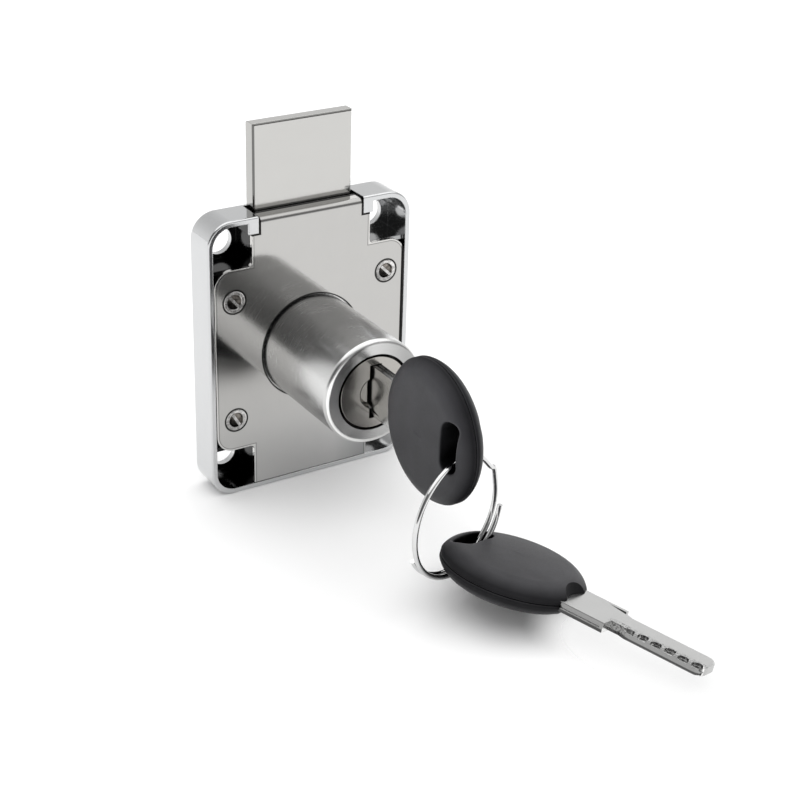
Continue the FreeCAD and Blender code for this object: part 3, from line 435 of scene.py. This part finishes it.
def plug_shade(kit, coords):
    """Painted shade on the side wall and along the edge of the dish; the dish's floor brownish and darker.
    """
    across, _, up = split(kit, coords)
    radius = length(kit, across, up)
    # painted shade: dark line round the dish and dark side wall
    face = bands(kit, radius, (2.62, 1.0), (2.66, 0.25), (2.84, 0.25), (2.90, 1.0),
                 (6.42, 1.0), (6.48, 0.04), (7.0, 0.04))
    in_dish = kit.all_of(kit.math("LESS_THAN", radius, DISH_RADIUS),
                         kit.math("GREATER_THAN", across, DISH_LEFT))
    return kit.product(face, kit.where(in_dish, (0.72, 0.60, 0.52)))


# Shades of the keys and the bolt

def key_shade(base, along, across):
    """Painted light and shade on the edges of a blade, painted light in its cuts, and its worn marks,
    measured
    from base: along it, across it and through it.
    """
    through = Vector(along).cross(Vector(across))

    def shade(kit, coords):
        away = kit.add("ShaderNodeVectorMath", operation="SUBTRACT", in_0=coords, in_1=Vector(base) * MM)
        lengthways, upwards, sideways = (kit.math("MULTIPLY", kit.dot(away.outputs[0], axis), 1 / MM)
                                         for axis in (along, across, through))
        facing_up = kit.dot(kit.add("ShaderNodeTexCoord").outputs["Normal"], across)
        # side that shows: painted shade line, painted highlight strip, painted shade on the lower half
        strip = bands(kit, kit.math("ADD", sideways, STRIP_OFFSET), (0.15, 0.8), (0.2, 0.35),
                      (0.3, 0.35), (0.35, 0.58), (1.3, 0.58), (1.4, 0.15), (2.0, 0.15))
        sides = kit.blend(kit.math("GREATER_THAN", facing_up, 0.6), 1.0, strip)
        # worn marks along the cuts, and painted light in the cuts between them
        place = kit.add("ShaderNodeCombineXYZ", in_0=lengthways, in_1=upwards, in_2=sideways)
        specks = kit.noise(place.outputs[0], 3.4, 2.0, 0.6)
        in_row = kit.near(lengthways, CUTS_MIDDLE, CUTS_REACH)
        marked = kit.all_of(in_row, kit.near(upwards, MARKS_MIDDLE, MARKS_REACH),
                            kit.math("GREATER_THAN", specks, 0.55))
        painted_light_in_cuts = kit.all_of(in_row, kit.near(sideways, 0.0, BLADE_FACE),
                          kit.math("LESS_THAN", facing_up, 0.6),
                          kit.math("GREATER_THAN", upwards, CUTS_LOW))
        return kit.product(sides, kit.where(painted_light_in_cuts, 1.7), kit.where(marked, 0.3))

    return shade


def bolt_shade(kit, coords):
    """Painted shade: a dark line along the front edges of the bolt's end, and a darker left side."""
    across, depth, up = split(kit, coords)
    low, high = [[value / MM for value in corner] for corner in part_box("bolt")]
    # painted shade along the front edges and on the left side
    left = kit.math("LESS_THAN", across, low[0] + BOLT_LINE)
    top = kit.math("GREATER_THAN", up, high[2] - BOLT_LINE)
    front = kit.math("LESS_THAN", depth, low[1] + BOLT_LINE_DEPTH)
    line = kit.all_of(kit.math("MAXIMUM", left, top), front)
    painted_flank_shade = kit.math("LESS_THAN", across, low[0] + BOLT_FLANK)
    return kit.product(kit.where(line, 0.30), kit.where(painted_flank_shade, 0.85))


# Materials. A blade's frame is a point in millimetres and the directions along and across the blade

KEY_FRAME = ((0.4, -39.55, 0.4), (0, 1, 0), (0, 0, 1))
SPARE_KEY_FRAME = ((7.636, -53.7213, -20.1041), (0.34587, -0.935, -0.07846),
                   (-0.88999, -0.3534, 0.28814))
KEY_NICKEL = (0.52, 0.52, 0.515)
KEY_EDGE = 0.12 * MM
PLATE_EDGE = 0.2 * MM
BOLT_EDGE = 0.15 * MM
HEAD_ROUGH = 0.5

# the case's chrome carries painted shade and painted glints inside the tray
CHROME = metal("case_chrome", (0.59, 0.595, 0.60), 0.13, spread=0.03, grain=2600, bump=0.05,
               wear=0.02, shade=painted_tray_shade, edge=PLATE_EDGE)
COVER = metal("cover_satin", (0.478, 0.472, 0.460), 0.08, spread=0.025, grain=9000,
              stretch=(1, 1, 0.03), bump=0.02, wear=0.02, shade=cover_shade, edge=PLATE_EDGE)
# screw heads: wear and painted light to the upper right
SCREW = metal("screw_steel", (0.62, 0.61, 0.60), 0.25, spread=0.08, grain=6000,
              shade=screw_shade([(0.15, 0.6), (0.85, 1.12)], [(0.38, 0.62), (0.58, 1.08)]))
# recess: the same steel darkened as painted shade, with painted light to its upper right
RECESS = metal("screw_recess", (0.06, 0.055, 0.05), 0.30, spread=0.08, grain=6000, wear=0.3,
               shade=screw_shade([(0.35, 0.25), (0.72, 3.6)], [(0.4, 0.4), (0.6, 1.3)]))
BARREL = metal("barrel_satin", (0.60, 0.60, 0.595), 0.25, spread=0.04, grain=9000,
               stretch=(0.03, 1, 0.03), bump=0.015, wear=0.03, shade=barrel_shade)
PLUG = metal("plug_nickel", (0.42, 0.405, 0.382), 0.22, spread=0.05, grain=6000, wear=0.05,
             shade=plug_shade)
BOLT = metal("bolt_steel", (0.525, 0.52, 0.505), 0.14, spread=0.04, grain=9000,
             stretch=(0.04, 1, 1), bump=0.03, wear=0.02, shade=bolt_shade, edge=BOLT_EDGE)
KEY = metal("key_nickel", KEY_NICKEL, 0.22, spread=0.06, grain=7000, wear=0.05,
            shade=key_shade(*KEY_FRAME), edge=KEY_EDGE)
SPARE_KEY = metal("spare_key_nickel", KEY_NICKEL, 0.22, spread=0.06, grain=7000, wear=0.05,
                  shade=key_shade(*SPARE_KEY_FRAME), edge=KEY_EDGE)
BRASS = metal("works_brass", (0.62, 0.46, 0.22), 0.3, spread=0.08, grain=6000, wear=0.08)
SPRING = metal("spring_steel", (0.5, 0.5, 0.5), 0.3, spread=0.08, grain=6000)
WIRE = metal("ring_chrome", (0.66, 0.66, 0.66), 0.08, spread=0.03, grain=5000, wear=0.04)
# Both heads are one plastic; the spare's colour is lighter, as painted light against the painted shade low
# down.
HEAD = moulded_plastic("head_plastic", (0.043, 0.0425, 0.048), HEAD_ROUGH,
                       flat_normal("inserted_key_blade"))
SPARE_HEAD = moulded_plastic("spare_head_plastic", (0.080, 0.079, 0.086), HEAD_ROUGH,
                             flat_normal("spare_key_blade"), band=0.40, turn=(0.55, 0.90))

FINISHES = {
    "lock_case": CHROME, "cover_plate": COVER, "cover_screws": SCREW, "barrel": BARREL,
    "plug": PLUG, "retaining_clip": SPRING, "pinion": BRASS, "bolt": BOLT, "wafer_springs": SPRING,
    "inserted_key_blade": KEY, "spare_key_blade": SPARE_KEY, "split_ring": WIRE,
    "inserted_key_head_upper": HEAD, "inserted_key_head_lower": HEAD,
    "spare_key_head_upper": SPARE_HEAD, "spare_key_head_lower": SPARE_HEAD,
}
for number in range(1, 7):
    FINISHES[f"wafer_{number}"] = BRASS
for node_name, finish in FINISHES.items():
    slots = NODES[node_name].data.materials
    slots.clear()
    slots.append(finish)


# Screw heads: a bright rim round a recess, dark as painted shade, with the bridge across it. Sizes in
# millimetres

SCREW_TURNS = {(1, 1): -45.0, (-1, -1): -59.0, (-1, 1): -50.0, (1, -1): -30.0}
HEAD_PROFILE = [(0.0, 0.34), (1.12, 0.34), (1.36, 0.02), (1.44, -0.05), (1.86, -0.05), (2.0, 0.0),
                (1.55, 0.05), (0.9, 0.7), (0.9, 4.2), (0.0, 4.2)]
RECESS_BANDS = 2
TURN_STEPS = 48
BRIDGE_DEPTH = 0.17
BRIDGE_SIZE = (2.65, 0.36, 0.5)


def turned(mesh, centre, profile):
    """Turn a profile of (radius, depth) pairs in millimetres about an axis along Y."""
    rings = []
    for radius, depth in profile:
        ring = []
        for step in range(TURN_STEPS if radius else 1):
            angle = 2 * math.pi * step / TURN_STEPS
            ring.append(mesh.verts.new((centre[0] + radius * MM * math.cos(angle), depth * MM,
                                        centre[1] + radius * MM * math.sin(angle))))
        rings.append(ring)
    for band, (inner, outer) in enumerate(zip(rings, rings[1:])):
        for near in range(TURN_STEPS):
            far = (near + 1) % TURN_STEPS
            if len(inner) == 1:
                corners = (inner[0], outer[near], outer[far])
            elif len(outer) == 1:
                corners = (inner[near], outer[0], inner[far])
            else:
                corners = (inner[near], outer[near], outer[far], inner[far])
            face = mesh.faces.new(corners)
            face.material_index = 1 if band < RECESS_BANDS else 0


def make_screw_heads():
    mesh = bmesh.new()
    for (side, end), turn in SCREW_TURNS.items():
        centre = (side * SCREW_X * MM, end * SCREW_Z * MM)
        turned(mesh, centre, HEAD_PROFILE)
        place = (Matrix.Translation((centre[0], BRIDGE_DEPTH * MM, centre[1]))
                 @ Matrix.Rotation(math.radians(-turn), 4, "Y")
                 @ Matrix.Diagonal((*(size * MM for size in BRIDGE_SIZE), 1)))
        bmesh.ops.create_cube(mesh, size=1.0, matrix=place)
    bmesh.ops.recalc_face_normals(mesh, faces=mesh.faces)
    data = bpy.data.meshes.new("screw_heads")
    mesh.to_mesh(data)
    mesh.free()
    piece = bpy.data.objects.new("screw_heads", data)
    bpy.context.collection.objects.link(piece)
    data.materials.append(SCREW)
    data.materials.append(RECESS)
    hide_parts("cover_screws")
    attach(piece, "case_body")


# Floor, backdrop and light. The opening round the spare key's blade is in millimetres and degrees

FLOOR_HALF = 3.0
FLOOR_GREY = 0.92
FLOOR_GLOW = 0.06
OPENING_PLACE = (17.5, -78.0)
OPENING_TURN = 19.1
OPENING_REACH = (11.0, 20.0)


def ray_is_seen(kit):
    """1 for rays that show the background: camera, mirror and transmission rays."""
    path = kit.add("ShaderNodeLightPath")
    seen = kit.math("MAXIMUM", path.outputs["Is Camera Ray"], path.outputs["Is Glossy Ray"])
    return kit.math("MAXIMUM", seen, path.outputs["Is Transmission Ray"])


def floor_white(level):
    """White floor that turns transparent in an oval round the spare key's blade."""
    material = bpy.data.materials.new("floor_white")
    kit = empty_tree(material)
    diffuse = kit.add("ShaderNodeBsdfDiffuse", in_Color=(FLOOR_GREY, FLOOR_GREY, FLOOR_GREY, 1))
    glow = kit.add("ShaderNodeEmission", in_Color=(1, 1, 1, 1),
                   in_Strength=kit.math("MULTIPLY", ray_is_seen(kit), FLOOR_GLOW))
    lit = kit.add("ShaderNodeAddShader", in_0=diffuse.outputs[0], in_1=glow.outputs[0])
    place = kit.add("ShaderNodeMapping", vector_type="TEXTURE",
                    in_Vector=kit.add("ShaderNodeTexCoord").outputs["Object"],
                    in_Location=(OPENING_PLACE[0] * MM, OPENING_PLACE[1] * MM, level),
                    in_Rotation=(0.0, 0.0, math.radians(OPENING_TURN)),
                    in_Scale=(OPENING_REACH[0] * MM, OPENING_REACH[1] * MM, 1.0))
    away = kit.add("ShaderNodeVectorMath", operation="LENGTH", in_0=place.outputs[0])
    halved = kit.math("MULTIPLY", away.outputs["Value"], 0.5)
    opening = kit.ramp(halved, [(0.36, 0.85), (0.60, 0.0)], smooth=True)
    clear = kit.add("ShaderNodeBsdfTransparent")
    faded = kit.add("ShaderNodeMixShader", in_0=opening, in_1=lit.outputs[0], in_2=clear.outputs[0])
    kit.add("ShaderNodeOutputMaterial", in_0=faded.outputs[0])
    return material


def make_floor(level):
    """Pale floor that keeps the shadows and shows white where nothing shades it.

    Round the spare key's blade it fades out to the white backdrop, because the blade swings below it;
    there it keeps little of the blade's shadow.
    """
    mesh = bpy.data.meshes.new("studio_floor")
    corners = [(x * FLOOR_HALF, y * FLOOR_HALF, level) for x, y in ((-1, -1), (1, -1), (1, 1), (-1, 1))]
    mesh.from_pydata(corners, [], [(0, 1, 2, 3)])
    floor = bpy.data.objects.new("studio_floor", mesh)
    bpy.context.collection.objects.link(floor)
    mesh.materials.append(floor_white(level))


def make_world():
    """White backdrop; metal also shows a dim room in front of the lock; even light for diffuse rays."""
    world = bpy.data.worlds.new("studio")
    bpy.context.scene.world = world
    kit = empty_tree(world)
    coords = kit.add("ShaderNodeTexCoord").outputs["Generated"]
    parts = kit.add("ShaderNodeSeparateXYZ", in_0=coords)
    side, depth, height = (kit.share(parts.outputs[axis], 2.0) for axis in "XYZ")
    behind = kit.ramp(height, [(0.0, 1.0), (0.55, 1.0), (0.72, 0.78), (0.85, 0.6), (1.0, 0.6)])
    walls = kit.ramp(side, [(0.15, 0.10), (0.5, 0.28), (0.8, 0.58)])
    room = kit.blend(kit.ramp(height, [(0.49, 0.0), (0.54, 1.0)]), 1.0, walls)
    mirrored = kit.blend(kit.ramp(depth, [(0.40, 0.0), (0.60, 1.0)]), room, behind)
    camera_ray = kit.add("ShaderNodeLightPath").outputs["Is Camera Ray"]
    backdrop = kit.blend(camera_ray, mirrored, 1.0)
    seen = kit.add("ShaderNodeBackground", in_Strength=1.0, in_Color=backdrop)
    light = kit.ramp(height, [(0.5, 0.12), (0.75, 0.60), (1.0, 0.86)])
    even = kit.add("ShaderNodeBackground", in_Strength=1.0, in_Color=light)
    mix = kit.add("ShaderNodeMixShader", in_0=ray_is_seen(kit), in_1=even.outputs[0], in_2=seen.outputs[0])
    kit.add("ShaderNodeOutputWorld", in_0=mix.outputs[0])


def soft_sun(name, place, level, angle):
    """Large distant lamp: the same soft light over the whole floor. level is that of a white sheet."""
    data = bpy.data.lights.new(name, "SUN")
    data.energy = level * math.pi
    data.angle = math.radians(angle)
    lamp = bpy.data.objects.new(name, data)
    bpy.context.collection.objects.link(lamp)
    lamp.rotation_euler = Vector(place).to_track_quat("Z", "Y").to_euler()


# Camera, fitted to the photograph: angles in degrees, places in metres, sensor in millimetres

CAMERA_TURN = (-32.614, 26.732, 1.744)
CAMERA_TARGET = (0.018991, 0.0, -0.015617)
CAMERA_DISTANCE = 0.326624
FOCAL_PIXELS = 1748.04
PICTURE_PIXELS = 800.0
SENSOR_WIDTH = 36.0


def make_camera():
    """Camera turned to the left of the lock and looking down on it."""
    azimuth, elevation, roll = (math.radians(angle) for angle in CAMERA_TURN)
    back = Vector((math.sin(azimuth) * math.cos(elevation), -math.cos(azimuth) * math.cos(elevation),
                   math.sin(elevation)))
    right = (-back).cross(Vector((0, 0, 1))).normalized()
    up = right.cross(-back)
    across = right * math.cos(roll) + up * math.sin(roll)
    upward = up * math.cos(roll) - right * math.sin(roll)
    place = Vector(CAMERA_TARGET) + back * CAMERA_DISTANCE
    data = bpy.data.cameras.new("camera")
    data.sensor_width = SENSOR_WIDTH
    data.lens = FOCAL_PIXELS * SENSOR_WIDTH / PICTURE_PIXELS
    data.clip_start = 0.01
    camera = bpy.data.objects.new("camera", data)
    bpy.context.collection.objects.link(camera)
    camera.matrix_world = Matrix((
        (across.x, upward.x, back.x, place.x), (across.y, upward.y, back.y, place.y),
        (across.z, upward.z, back.z, place.z), (0, 0, 0, 1)))
    bpy.context.scene.camera = camera


make_screw_heads()
make_floor(CAD_BOX[0][2])
make_world()
soft_sun("key_light", (0.14, 0.03, 1.0), level=0.62, angle=96.0)
make_camera()
bpy.context.scene.view_settings.view_transform = "Standard"
